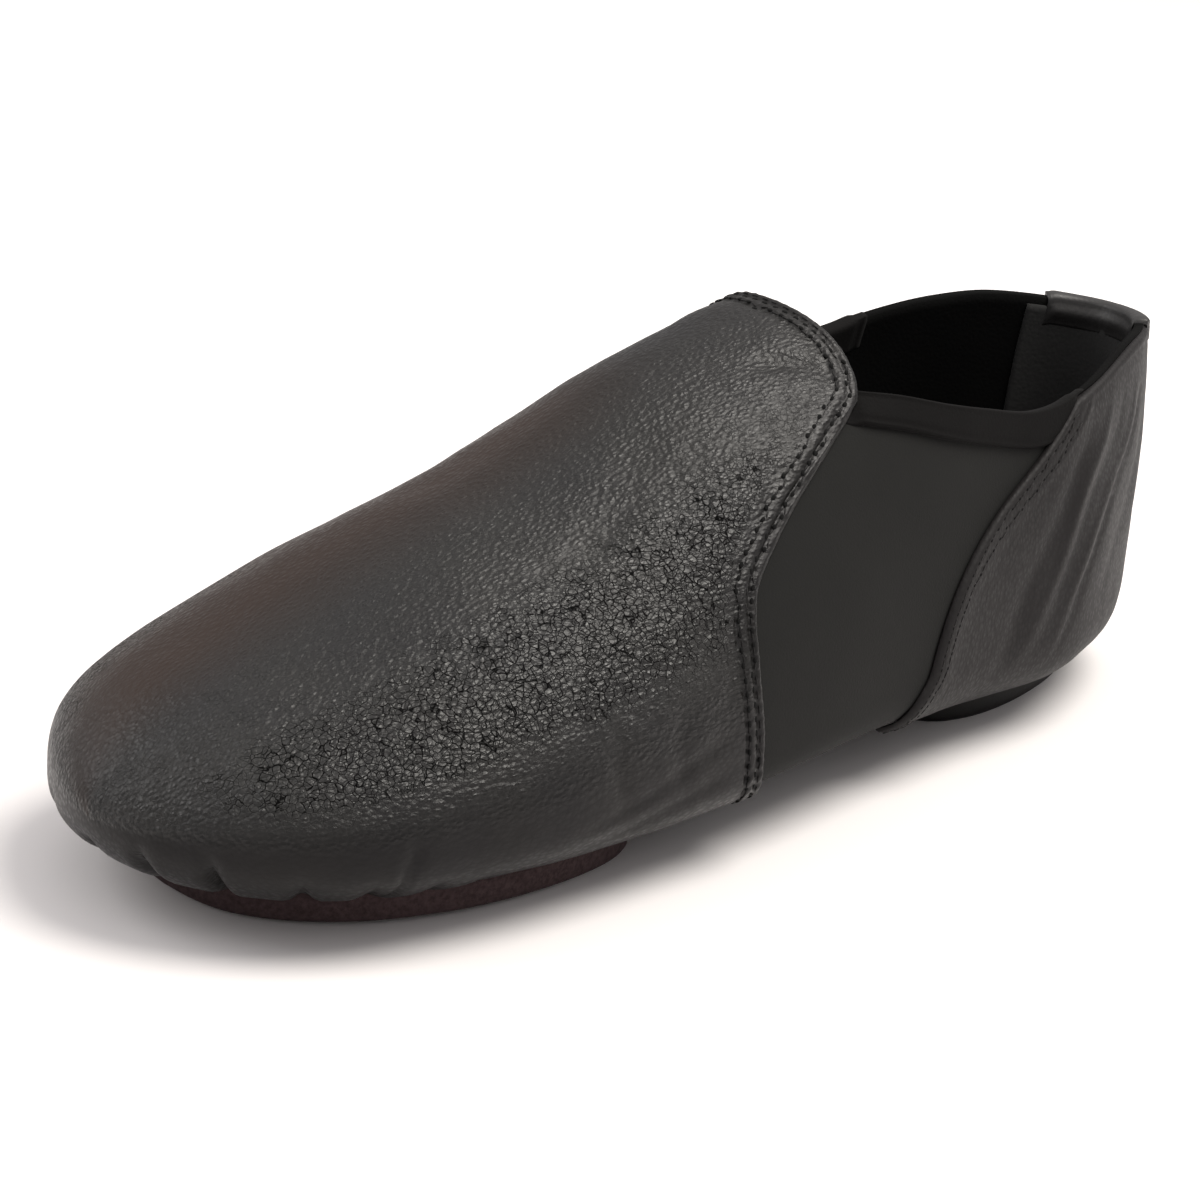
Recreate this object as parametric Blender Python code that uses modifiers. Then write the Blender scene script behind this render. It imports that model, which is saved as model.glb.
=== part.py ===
# Jazz shoe for the left foot: a soft leather slip-on with elastic side panels and a split sole.
# Metres, +Z up. The toe points to -Y, the outer (lateral) side faces +X and the floor is z = 0.

import bmesh
import bpy
import numpy as np

# Lengths and widths of the last
last_length = 0.248
ball_width = 0.085
heel_width = 0.0665
toe_round = 0.038
toe_nose = 0.024
heel_round = 0.049
heel_corner = 0.008
toe_drift = -0.002

# Heights above the sole line, which is the underside of the leather
instep_height = 0.078
toe_height = 0.024
collar_back = 0.0637
collar_dip = 0.0588
collar_throat = 0.0672
medial_collar_rise = 0.0019
arch_lift = 0.0022
toe_spring = 0.0040

# The back curve: how far the heel leans out at the collar and tucks in at the floor
back_lean = 0.0020
back_tuck = 0.0027

# Walls, clearances and sole pieces
upper_wall = 0.0013
leather = 0.0010
fit_gap = 0.0003
loose_gap = 0.0004
insole_thickness = 0.0012
heel_pad_thickness = 0.0045
forefoot_thickness = 0.0042
heel_flat_margin = 0.0022
ball_flat_margin = 0.0015
ridge_height = 0.0009

# Folded tape on the elastic, and the folded leather tab over the back of the collar
tape_width = 0.0060
tape_thickness = 0.0008
tab_width = 0.024
tab_thickness = 0.0010
tab_outer_drop = 0.0035
tab_inner_drop = 0.0120

# How far the sole pieces' rounded ends run before they are cut square, as a share of half their length
blunt_end = 0.985

# Where the leather and the sock's own openings end under the foot, as turns of the section from its bottom
leather_margin = 0.1125
opening_margin = 0.065

# One row a section, from heel to toe. at: share of the length. lateral and medial: shares of half the width
# there. rise: 0 at the toe's height, 1 at the instep's. widest: share of the instep height. ridge: share of
# half the ball width. The powers square the section off. arch and spring: shares of those two lifts.
section_columns = ("at", "lateral", "medial", "rise", "widest", "ridge", "top_power", "sole_power", "arch", "spring")
section_rows = (
    (0.00, 0.81, 0.73, 1.22, 0.220, 0.010, 2.6, 2.6, 0.00, 0.10),
    (0.10, 0.91, 0.84, 1.20, 0.205, -0.010, 2.6, 2.8, 0.00, 0.05),
    (0.20, 1.06, 0.95, 1.21, 0.220, -0.025, 2.5, 3.0, 0.00, 0.00),
    (0.32, 1.07, 0.86, 1.13, 0.230, -0.045, 2.4, 3.0, 0.35, 0.00),
    (0.44, 1.05, 0.74, 0.99, 0.213, -0.080, 2.2, 3.0, 1.00, 0.00),
    (0.55, 1.03, 0.80, 0.82, 0.197, -0.110, 2.1, 3.0, 0.70, 0.00),
    (0.66, 1.03, 0.91, 0.59, 0.185, -0.125, 2.1, 3.0, 0.25, 0.00),
    (0.78, 1.00, 0.99, 0.395, 0.180, -0.150, 2.1, 2.8, 0.00, 0.00),
    (0.88, 0.89, 0.98, 0.200, 0.178, -0.165, 2.1, 2.6, 0.00, 0.25),
    (0.95, 0.83, 0.94, 0.080, 0.178, -0.180, 2.1, 2.4, 0.00, 0.60),
    (1.00, 0.76, 0.80, 0.000, 0.175, -0.200, 2.1, 2.2, 0.00, 1.00),
)

# The collar line. back: share of the way from the dip's height to the back's. throat: the same to the throat's.
collar_columns = ("at", "back", "throat")
collar_rows = (
    (0.00, 1.00, 0.00),
    (0.04, 1.22, 0.00),
    (0.08, 1.27, 0.00),
    (0.12, 1.02, 0.00),
    (0.16, 0.67, 0.00),
    (0.19, 0.40, 0.00),
    (0.22, 0.10, 0.00),
    (0.25, 0.00, 0.02),
    (0.30, 0.00, 0.27),
    (0.34, 0.00, 0.53),
    (0.39, 0.00, 0.90),
    (0.42, 0.00, 1.05),
    (0.50, 0.00, 1.50),
)

# Leather edges: at a share of the girth from the margin under the foot up to the collar, the share of the length
vamp_edge_columns = ("girth", "at")
vamp_edge_rows = (
    (0.00, 0.558),
    (0.15, 0.562),
    (0.30, 0.570),
    (0.52, 0.576),
    (0.67, 0.578),
    (0.75, 0.573),
    (0.80, 0.563),
    (0.84, 0.543),
    (0.89, 0.511),
    (0.93, 0.478),
    (0.97, 0.444),
    (1.00, 0.414),
)
quarter_edge_columns = ("girth", "at")
quarter_edge_rows = (
    (0.00, 0.395),
    (0.30, 0.390),
    (0.50, 0.374),
    (0.65, 0.345),
    (0.80, 0.295),
    (0.90, 0.252),
    (1.00, 0.200),
)

# Rows of the net on the quarter. The columns are the share of the way from the tab's end to the front hem, and
# how much of the ridge height the row is raised.
quarter_net_rows = (
    (0.06, 0.0),
    (0.13, 0.0),
    (0.20, 0.0),
    (0.28, 0.0),
    (0.37, 0.0),
    (0.46, 0.0),
    (0.54, 1.0),
    (0.61, 0.0),
    (0.68, 1.0),
    (0.75, 0.0),
    (0.87, 0.0),
    (1.00, 0.0),
)

# The net's other rows, and its columns, as shares of the part that they cross. Those under the foot are shares
# of the opening's margin, and the last one lies beside it.
tab_net_rows = (0.0, 0.10, 0.35, 0.65, 1.0)
gore_net_rows = (0.17, 0.34, 0.50, 0.66, 0.83)
vamp_body_rows = (0.0, 0.05, 0.11, 0.18, 0.26, 0.35, 0.44, 0.53, 0.62)
vamp_toe_rows = (0.70, 0.77, 0.83, 0.88, 0.92, 0.953, 0.977, 0.992, 1.0)
girth_net = (0.0, 0.10, 0.20, 0.31, 0.42, 0.53, 0.64, 0.74, 0.82, 0.89, 0.95, 1.0)
top_net = (0.0, 0.14, 0.28, 0.42, 0.58, 0.72, 0.86, 1.0)
under_net = (-1.0, -0.5, 0.0, 0.5, 1.0)
margin_net = 1.4

# Shares of the length between which the sock is open underneath, and near which the leather closes below
heel_opening = (0.085, 0.25)
ball_opening = (0.64, 0.885)
leather_closes_heel = 0.030
leather_closes_toe = 0.965


# Interpolation of the tables

def column(columns, rows, name, at):
    # Cubic through the named column's values, with the slopes of their neighbours
    table = np.array(rows)
    xs = table[:, 0]
    ys = table[:, columns.index(name)]
    slopes = np.gradient(ys, xs)
    at = np.clip(at, xs[0], xs[-1])
    i = np.clip(np.searchsorted(xs, at) - 1, 0, len(xs) - 2)
    step = xs[i + 1] - xs[i]
    t = (at - xs[i]) / step
    start = (2 * t**3 - 3 * t**2 + 1) * ys[i] + (t**3 - 2 * t**2 + t) * step * slopes[i]
    end = (3 * t**2 - 2 * t**3) * ys[i + 1] + (t**3 - t**2) * step * slopes[i + 1]
    return start + end


def section(name, u):
    return column(section_columns, section_rows, name, u)


def ease(low, high, u):
    t = np.clip((u - low) / (high - low), 0, 1)
    return t * t * (3 - 2 * t)


# The outside of the leather, as a form of two shares: u along the length, v round the section

def half_width(u):
    return (heel_width + (ball_width - heel_width) * ease(0.25, 0.60, u)) / 2


def sole_line(u):
    under_heel = heel_pad_thickness + fit_gap
    under_ball = forefoot_thickness + fit_gap
    return under_heel + (under_ball - under_heel) * ease(0.30, 0.58, u)


def section_heights(u):
    base = sole_line(u)
    bottom = base + arch_lift * section("arch", u) + toe_spring * section("spring", u)
    widest = base + instep_height * section("widest", u)
    top = base + toe_height + (instep_height - toe_height) * section("rise", u)
    return bottom, widest, top


def end_rounding(u, reach, power, at_toe):
    into = np.clip(1 - (1 - u if at_toe else u) * last_length / reach, 0, 1)
    return (1 - into**power) ** (1 / power)


def form(u, v):
    bottom, widest, top = section_heights(u)
    heel = end_rounding(u, heel_round, 2.2, False)
    toe = end_rounding(u, toe_round, 2.0, True)
    nose = end_rounding(u, toe_nose, 2.4, True)
    corner_round = end_rounding(u, heel_corner, 3.0, False)
    drift = toe_drift * (1 - toe)
    lateral = half_width(u) * section("lateral", u) * heel * toe + drift
    medial = -half_width(u) * section("medial", u) * heel * toe + drift
    ridge = ball_width / 2 * section("ridge", u) * heel * toe + drift
    sine = np.sin(2 * np.pi * v)
    cosine = np.cos(2 * np.pi * v)
    above = cosine < 0
    power = np.where(above, section("top_power", u), section("sole_power", u))
    across = np.abs(sine) ** (2 / power)
    along = np.abs(cosine) ** (2 / power)
    middle = np.where(above, ridge, (lateral + medial) / 2)
    side = np.where(sine >= 0, lateral, medial)
    x = middle + (side - middle) * across
    reach = np.where(above, top - widest, (bottom - widest) * corner_round)
    z = widest + reach * nose * along
    share_up = z / (sole_line(u) + collar_back)
    fade = np.clip(1 - u / 0.30, 0, 1) ** 2
    lean = back_tuck * np.clip(1 - 2.6 * share_up, 0, 1) ** 2 - back_lean * share_up**1.5
    y = last_length / 2 - u * last_length - fade * lean
    return np.stack([x, y, z], axis=-1)


def outward(u, v):
    step = 0.002
    inside = np.clip(u, 2 * step, 1 - 2 * step)
    along = form(inside + step, v) - form(inside - step, v)
    around = form(inside, v + step) - form(inside, v - step)
    normal = np.cross(around, along)
    return normal / np.linalg.norm(normal, axis=-1, keepdims=True)


def skin(u, v, out):
    # The form moved outwards along its normal. The back line and the toe's tip have one normal for both sides.
    u, v = np.broadcast_arrays(u, v)
    normal = outward(u, v)
    back = (outward(u, v) + outward(u, 1 - v)) * np.array([0.0, 1.0, 1.0])
    normal = np.where((u < 1e-6)[..., None], back, normal)
    normal = np.where((u > 1 - 1e-6)[..., None], np.array([0.0, -1.0, 0.0]), normal)
    normal = normal / np.linalg.norm(normal, axis=-1, keepdims=True)
    return form(u, v) + np.asarray(out)[..., None] * normal


# Lines on the form

def vamp_edge(girth):
    return column(vamp_edge_columns, vamp_edge_rows, "at", girth)


def quarter_edge(girth):
    return column(quarter_edge_columns, quarter_edge_rows, "at", girth)


throat = vamp_edge(1.0)


def collar_turn(u, medial):
    # The turn at which the section meets the collar's height. Past the throat it carries on along the vamp.
    at = np.minimum(u, throat)
    back = column(collar_columns, collar_rows, "back", at)
    front = column(collar_columns, collar_rows, "throat", at)
    height = collar_dip + (collar_back - collar_dip) * back + (collar_throat - collar_dip) * front
    height = height + medial * medial_collar_rise * ease(0.0, 0.15, at)
    widest, top = section_heights(at)[1:]
    share = np.clip((sole_line(at) + height - widest) / (top - widest), 0, 1)
    turn = 0.5 - np.arccos(share ** (section("top_power", at) / 2)) / (2 * np.pi)
    return np.where(medial, 1 - turn, turn)


def girth_turn(u, girth, medial):
    low = np.where(medial, 1 - leather_margin, leather_margin)
    return low + (collar_turn(u, medial) - low) * girth


# The net that every layer shares, so that one layer lies evenly over another. Its rows run round the foot and
# follow the leather edges. Its columns run from heel to toe, and these two kinds of them lie under the foot.

below = ("under", "margin")


def tab_share():
    # How far the tab reaches, as a share of the quarter's collar
    shares = np.linspace(0.001, 0.9, 400)
    at = shares * quarter_edge(1.0)
    widths = form(at, collar_turn(at, False))[:, 0] - form(at, collar_turn(at, True))[:, 0]
    return float(np.interp(tab_width, widths, shares))


def net_rows():
    # Each row is its kind, its share within the kind, and its ridge
    tab = tab_share()
    rows = [("quarter", tab * share, 0.0) for share in tab_net_rows]
    rows += [("quarter", tab + (1 - tab) * share, ridge) for share, ridge in quarter_net_rows]
    rows += [("gore", share, 0.0) for share in gore_net_rows]
    rows += [("vamp", share, 0.0) for share in vamp_body_rows + vamp_toe_rows]
    return rows


def net_columns():
    # A full turn: up the lateral side, over the top, down the medial side and back under the foot
    columns = [("lateral", girth) for girth in girth_net]
    columns += [("top", share) for share in top_net[1:-1]]
    columns += [("medial", girth) for girth in reversed(girth_net)]
    columns += [("margin", -margin_net)]
    columns += [("under", share) for share in under_net]
    columns += [("margin", margin_net)]
    return columns


def row_at(kind, share, girth):
    if kind == "quarter":
        return quarter_edge(girth) * share
    if kind == "gore":
        return quarter_edge(girth) * (1 - share) + vamp_edge(girth) * share
    return vamp_edge(girth) + (1 - vamp_edge(girth)) * share


def net_point(row, column_here):
    kind, share = row[:2]
    part, value = column_here
    if part == "top":
        u = row_at(kind, share, 1.0)
        low = collar_turn(u, False)
        return u, low + (collar_turn(u, True) - low) * value
    if part in below:
        return row_at(kind, share, 0.0), opening_margin * value
    u = row_at(kind, share, value)
    return u, girth_turn(u, value, part == "medial")


rows = net_rows()
columns = net_columns()
net = np.array([[net_point(row, here) for here in columns] for row in rows], dtype=float)
net_u = net[..., 0]
net_v = net[..., 1]


# Building blocks

collection = bpy.data.collections.new("jazz_shoe")


def clear_scene():
    for item in list(bpy.data.objects):
        bpy.data.objects.remove(item, do_unlink=True)
    bpy.context.scene.collection.children.link(collection)


def material(name, colour, roughness):
    made = bpy.data.materials.new(name)
    made.use_nodes = True
    shader = made.node_tree.nodes["Principled BSDF"]
    shader.inputs["Base Color"].default_value = (*colour, 1.0)
    shader.inputs["Roughness"].default_value = roughness
    return made


def finish_object(name, mesh_build, surface):
    bmesh.ops.remove_doubles(mesh_build, verts=mesh_build.verts, dist=0.00002)
    loose = [vert for vert in mesh_build.verts if not vert.link_faces]
    bmesh.ops.delete(mesh_build, geom=loose, context="VERTS")
    mesh = bpy.data.meshes.new(name)
    mesh_build.to_mesh(mesh)
    mesh_build.free()
    mesh.materials.append(surface)
    mesh.shade_smooth()
    mesh.set_sharp_from_angle(angle=np.radians(40))
    made = bpy.data.objects.new(name, mesh)
    collection.objects.link(made)
    return made


def sheet(name, points, wanted, thickness, surface):
    # An open surface on the net, where wanted says so for each cell, thickened inwards
    build = bmesh.new()
    verts = [[build.verts.new(point) for point in row] for row in points]
    around = len(verts[0])
    for i in range(len(verts) - 1):
        for j in range(around):
            if wanted[i][j]:
                k = (j + 1) % around
                build.faces.new((verts[i][j], verts[i][k], verts[i + 1][k], verts[i + 1][j]))
    made = finish_object(name, build, surface)
    wall = made.modifiers.new("wall", "SOLIDIFY")
    wall.thickness = thickness
    wall.offset = -1.0
    wall.use_even_offset = True
    return made


def slab(name, top, bottom, surface):
    # A closed piece between two nets of the same size
    build = bmesh.new()
    upper_side = [[build.verts.new(point) for point in row] for row in top]
    lower_side = [[build.verts.new(point) for point in row] for row in bottom]
    last_row = len(top) - 1
    last_column = len(top[0]) - 1
    for i in range(last_row):
        for j in range(last_column):
            build.faces.new(corner(upper_side, i, j))
            build.faces.new(corner(lower_side, i, j))
        for j in (0, last_column):
            build.faces.new((upper_side[i][j], upper_side[i + 1][j], lower_side[i + 1][j], lower_side[i][j]))
    for i in (0, last_row):
        for j in range(last_column):
            build.faces.new((upper_side[i][j], upper_side[i][j + 1], lower_side[i][j + 1], lower_side[i][j]))
    bmesh.ops.recalc_face_normals(build, faces=build.faces)
    return finish_object(name, build, surface)


def corner(verts, i, j):
    return verts[i][j], verts[i][j + 1], verts[i + 1][j + 1], verts[i + 1][j]


def channel(name, loops, surface):
    # A closed loft through loops of points, with flat ends
    build = bmesh.new()
    rings = [[build.verts.new(point) for point in loop] for loop in loops]
    around = len(rings[0])
    for ring, after in zip(rings, rings[1:]):
        for j in range(around):
            k = (j + 1) % around
            build.faces.new((ring[j], ring[k], after[k], after[j]))
    build.faces.new(reversed(rings[0]))
    build.faces.new(rings[-1])
    bmesh.ops.recalc_face_normals(build, faces=build.faces)
    return finish_object(name, build, surface)


# The sock, with its elastic sides and lining, and the leather over it

def cells(test):
    around = len(columns)
    wanted = []
    for i in range(len(rows) - 1):
        middle = [(net_u[i, j] + net_u[i + 1, j]) / 2 for j in range(around)]
        line = []
        for j in range(around):
            parts = (columns[j][0], columns[(j + 1) % around][0])
            line.append(test(rows[i], rows[i + 1], parts, middle[j]))
        wanted.append(line)
    return wanted


def goes_below(parts):
    return parts[0] in below or parts[1] in below


def in_opening(parts, at):
    if parts != ("under", "under"):
        return False
    return heel_opening[0] < at < heel_opening[1] or ball_opening[0] < at < ball_opening[1]


def sock_cell(row, after, parts, at):
    if "top" in parts and row[0] != "vamp":
        return False
    return not in_opening(parts, at)


def vamp_cell(row, after, parts, at):
    if row[0] != "vamp":
        return False
    return not goes_below(parts) or at > leather_closes_toe


def quarter_cell(row, after, parts, at):
    if after[0] != "quarter" or "top" in parts:
        return False
    return not goes_below(parts) or at < leather_closes_heel


def ridge_lift():
    # Soft ridges on the quarter, fading out above the sole and below the collar
    lift = np.zeros(net_u.shape)
    for i, row in enumerate(rows):
        for j, (part, value) in enumerate(columns):
            if part in ("lateral", "medial"):
                lift[i, j] = row[2] * ridge_height * ease(0.05, 0.3, value) * (1 - ease(0.9, 1.0, value))
    return lift


def make_sock(surface):
    points = skin(net_u, net_v, -(leather + fit_gap))
    return sheet("upper", points, cells(sock_cell), upper_wall, surface)


def make_vamp(surface):
    return sheet("vamp", skin(net_u, net_v, 0.0), cells(vamp_cell), leather, surface)


def make_quarter(surface):
    return sheet("quarter", skin(net_u, net_v, ridge_lift()), cells(quarter_cell), leather, surface)


# Folded edgings: a channel that straddles the collar

def fold_loop(kind, share, medial, outer_face, inner_face, thickness, outer_drop, inner_drop):
    # Outer leg, rounded roof and inner leg, on one row of the net. Each pair is the height over the collar's
    # edge and how far out the point lies.
    roof = loose_gap + thickness
    profile = (
        (-outer_drop, outer_face + thickness),
        (-outer_drop * 0.5, outer_face + thickness),
        (roof * 0.4, outer_face + thickness),
        (roof, outer_face + thickness * 0.3),
        (roof, inner_face - thickness * 0.3),
        (roof * 0.4, inner_face - thickness),
        (-inner_drop * 0.5, inner_face - thickness),
        (-inner_drop, inner_face - thickness),
        (-inner_drop, inner_face),
        (-inner_drop * 0.5, inner_face),
        (loose_gap, inner_face),
        (loose_gap, outer_face),
        (-outer_drop * 0.5, outer_face),
        (-outer_drop, outer_face),
    )
    edge = row_at(kind, share, 1.0)
    nearby = 0.004
    turn = collar_turn(edge, medial)
    travel = np.linalg.norm(form(edge, turn + nearby) - form(edge, turn - nearby)) / (2 * nearby)
    side_girth = travel * abs(turn - girth_turn(edge, 0.0, medial))
    loop = []
    for height, out in profile:
        girth = 1 + height / side_girth
        u = row_at(kind, share, min(girth, 1.0))
        loop.append(skin(u, girth_turn(u, girth, medial), out))
    return loop


def make_tape(name, medial, surface):
    elastic_face = -(leather + fit_gap)
    collar_length = (vamp_edge(1.0) - quarter_edge(1.0)) * last_length
    clear = 5 * fit_gap / collar_length
    loops = []
    inner = elastic_face - upper_wall - loose_gap
    for share in (clear, *gore_net_rows, 1 - clear):
        outer = elastic_face + loose_gap
        loops.append(fold_loop("gore", share, medial, outer, inner, tape_thickness, tape_width, tape_width))
    return channel(name, loops, surface)


def make_tab(surface):
    inner = -(leather + fit_gap + upper_wall + loose_gap)
    stations = [(share, False) for share in reversed(tab_net_rows)]
    stations += [(share, True) for share in tab_net_rows[1:]]
    loops = []
    for share, medial in stations:
        reach = share * tab_share()
        drops = (tab_outer_drop, tab_inner_drop)
        loops.append(fold_loop("quarter", reach, medial, loose_gap, inner, tab_thickness, *drops))
    return channel("heel_tab", loops, surface)


# Pieces under and inside the foot, on a net of their own: rows along the length, columns across

def flat_net(back, front, reach, back_power, front_power):
    # reach is the share of the half width that the piece covers. The powers round its ends.
    spread = np.linspace(-1, 1, 15)
    along = blunt_end * (0.4 * spread + 0.6 * np.sin(spread * np.pi / 2))
    across = np.array([-1, -0.93, -0.84, -0.70, -0.50, -0.25, 0, 0.25, 0.50, 0.70, 0.84, 0.93, 1])
    power = np.where(along < 0, back_power, front_power)
    width = reach * (1 - np.abs(along) ** power) ** (1 / power)
    u = (back + front) / 2 + along * (front - back) / 2
    share = width[:, None] * across[None, :]
    u = np.broadcast_to(u[:, None], share.shape)
    turn = np.arcsin(np.abs(share) ** (section("sole_power", u) / 2)) / (2 * np.pi)
    return u, np.sign(share) * turn


def sole_piece(name, net_here, out, thickness, margin, surface):
    # The top follows what it is glued to, out from the form. The bottom is the leather's surface lower down,
    # pressed flat on the floor.
    u, v = net_here
    bottom = skin(u, v, fit_gap)
    bottom[..., 2] = np.maximum(bottom[..., 2] - thickness - margin, 0.0)
    return slab(name, skin(u, v, out), bottom, surface)


def make_insole(surface):
    u, v = flat_net(0.035, 0.925, 0.74, 2.6, 2.6)
    under = -(leather + fit_gap + upper_wall + loose_gap)
    return slab("insole", skin(u, v, under - insole_thickness), skin(u, v, under), surface)


def centre_on_floor():
    # Puts the middle of the whole shoe's box over the origin
    graph = bpy.context.evaluated_depsgraph_get()
    points = []
    for item in collection.objects:
        evaluated = item.evaluated_get(graph)
        mesh = evaluated.to_mesh()
        points += [item.matrix_world @ vert.co for vert in mesh.vertices]
        evaluated.to_mesh_clear()
    box = np.array(points)
    middle = (box.min(axis=0) + box.max(axis=0)) / 2
    for item in collection.objects:
        item.location = (-middle[0], -middle[1], -box[:, 2].min())


def make_shoe():
    clear_scene()
    black_leather = material("black_leather", (0.020, 0.018, 0.016), 0.42)
    back_leather = material("quarter_leather", (0.026, 0.023, 0.021), 0.45)
    elastic = material("elastic", (0.012, 0.012, 0.011), 0.85)
    tape = material("tape", (0.014, 0.013, 0.013), 0.75)
    rubber = material("rubber", (0.010, 0.009, 0.010), 0.60)
    patch = material("sole_patch", (0.030, 0.020, 0.021), 0.75)
    sock_lining = material("sock_lining", (0.010, 0.010, 0.010), 0.90)
    make_sock(elastic)
    make_insole(sock_lining)
    # The forefoot sole lies over the leather's edge, and the heel pad between the leather's edges
    ball_net = flat_net(0.60, 0.93, 0.74, 3.0, 2.6)
    heel_net = flat_net(0.034, 0.284, 0.58, 3.2, 4.0)
    sole_piece("forefoot_sole", ball_net, fit_gap, forefoot_thickness, ball_flat_margin, patch)
    sole_piece("heel", heel_net, -leather, heel_pad_thickness, heel_flat_margin, rubber)
    make_vamp(black_leather)
    make_quarter(back_leather)
    make_tape("gore_binding_lateral", False, tape)
    make_tape("gore_binding_medial", True, tape)
    make_tab(back_leather)
    bpy.context.view_layer.update()
    centre_on_floor()


make_shoe()
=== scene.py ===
# Jazz shoe for the left foot: creased black leather over an elastic sock, on a split sole.
# Metres throughout. The toe points to -Y and the outer side faces +X.

import math
from functools import partial

import bmesh
import bpy
import numpy as np
from mathutils import Matrix, Vector, noise
from mathutils.bvhtree import BVHTree


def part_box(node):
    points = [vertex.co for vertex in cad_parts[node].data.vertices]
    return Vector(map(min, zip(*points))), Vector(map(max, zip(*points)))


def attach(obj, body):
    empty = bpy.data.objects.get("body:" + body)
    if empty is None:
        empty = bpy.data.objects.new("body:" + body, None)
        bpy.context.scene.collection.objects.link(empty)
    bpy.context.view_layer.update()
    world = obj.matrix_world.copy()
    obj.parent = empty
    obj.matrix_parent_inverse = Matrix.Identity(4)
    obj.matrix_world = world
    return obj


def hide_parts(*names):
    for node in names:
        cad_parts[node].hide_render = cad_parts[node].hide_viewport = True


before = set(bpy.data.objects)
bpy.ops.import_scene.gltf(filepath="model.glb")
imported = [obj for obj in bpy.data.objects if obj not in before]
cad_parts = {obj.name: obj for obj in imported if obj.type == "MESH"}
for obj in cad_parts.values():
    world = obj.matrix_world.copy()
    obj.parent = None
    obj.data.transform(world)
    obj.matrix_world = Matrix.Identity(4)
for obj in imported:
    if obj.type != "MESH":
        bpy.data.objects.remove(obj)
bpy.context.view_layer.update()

mm = 0.001


# The last, as in the part's source, so that every piece lies on the solid it dresses

last = {
    "length": 0.248,
    "ballWidth": 0.085,
    "heelWidth": 0.0665,
    "toeRound": (0.038, 2.0),  # reach and power of each end's rounding
    "toeNose": (0.024, 2.4),
    "heelRound": (0.049, 2.2),
    "heelCorner": (0.008, 3.0),
    "toeDrift": -0.002,
    "instepHeight": 0.078,
    "toeHeight": 0.024,
    "collarBack": 0.0637,
    "collarDip": 0.0588,
    "collarThroat": 0.0672,
    "medialRise": 0.0019,
    "archLift": 0.0022,
    "toeSpring": 0.0040,
    "backLean": 0.0020,
    "backTuck": 0.0027,
    "backReach": 0.30,  # share of the length over which both of these fade out
    "heelPad": 0.0045,
    "forefoot": 0.0042,
    "gap": 0.0003,
    "leather": 0.0010,
    "leatherMargin": 0.1125,  # turn of the section at the leather's lower edge
}

sectionNames = ("at", "lateral", "medial", "rise", "widest", "ridge", "topPower", "solePower", "arch", "spring")
sectionRows = np.array((
    (0.00, 0.81, 0.73, 1.22, 0.220, 0.010, 2.6, 2.6, 0.00, 0.10),
    (0.10, 0.91, 0.84, 1.20, 0.205, -0.010, 2.6, 2.8, 0.00, 0.05),
    (0.20, 1.06, 0.95, 1.21, 0.220, -0.025, 2.5, 3.0, 0.00, 0.00),
    (0.32, 1.07, 0.86, 1.13, 0.230, -0.045, 2.4, 3.0, 0.35, 0.00),
    (0.44, 1.05, 0.74, 0.99, 0.213, -0.080, 2.2, 3.0, 1.00, 0.00),
    (0.55, 1.03, 0.80, 0.82, 0.197, -0.110, 2.1, 3.0, 0.70, 0.00),
    (0.66, 1.03, 0.91, 0.59, 0.185, -0.125, 2.1, 3.0, 0.25, 0.00),
    (0.78, 1.00, 0.99, 0.395, 0.180, -0.150, 2.1, 2.8, 0.00, 0.00),
    (0.88, 0.89, 0.98, 0.200, 0.178, -0.165, 2.1, 2.6, 0.00, 0.25),
    (0.95, 0.83, 0.94, 0.080, 0.178, -0.180, 2.1, 2.4, 0.00, 0.60),
    (1.00, 0.76, 0.80, 0.000, 0.175, -0.200, 2.1, 2.2, 0.00, 1.00),
))
collarRows = np.array((  # at, share of the back's height, share of the throat's
    (0.00, 1.00, 0.00), (0.04, 1.22, 0.00), (0.08, 1.27, 0.00), (0.12, 1.02, 0.00), (0.16, 0.67, 0.00),
    (0.19, 0.40, 0.00), (0.22, 0.10, 0.00), (0.25, 0.00, 0.02), (0.30, 0.00, 0.27), (0.34, 0.00, 0.53),
    (0.39, 0.00, 0.90), (0.42, 0.00, 1.05), (0.50, 0.00, 1.50),
))
vampEdgeRows = np.array((  # share of the girth, share of the length
    (0.00, 0.558), (0.15, 0.562), (0.30, 0.570), (0.52, 0.576), (0.67, 0.578), (0.75, 0.573), (0.80, 0.563),
    (0.84, 0.543), (0.89, 0.511), (0.93, 0.478), (0.97, 0.444), (1.00, 0.414),
))
quarterEdgeRows = np.array((
    (0.00, 0.395), (0.30, 0.390), (0.50, 0.374), (0.65, 0.345), (0.80, 0.295), (0.90, 0.252), (1.00, 0.200),
))


def tableAt(rows, k, at):
    xs = rows[:, 0]
    ys = rows[:, k]
    slopes = np.gradient(ys, xs)
    at = np.clip(at, xs[0], xs[-1])
    i = np.clip(np.searchsorted(xs, at) - 1, 0, len(xs) - 2)
    step = xs[i + 1] - xs[i]
    t = (at - xs[i]) / step
    start = (2 * t**3 - 3 * t**2 + 1) * ys[i] + (t**3 - 2 * t**2 + t) * step * slopes[i]
    return start + (3 * t**2 - 2 * t**3) * ys[i + 1] + (t**3 - t**2) * step * slopes[i + 1]


def section(name, u):
    return tableAt(sectionRows, sectionNames.index(name), u)


def ease(low, high, x):
    t = np.clip((x - low) / (high - low), 0, 1)
    return t * t * (3 - 2 * t)


def halfWidth(u):
    return (last["heelWidth"] + (last["ballWidth"] - last["heelWidth"]) * ease(0.25, 0.60, u)) / 2


def soleLine(u):
    heel = last["heelPad"] + last["gap"]
    return heel + (last["forefoot"] - last["heelPad"]) * ease(0.30, 0.58, u)


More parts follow.
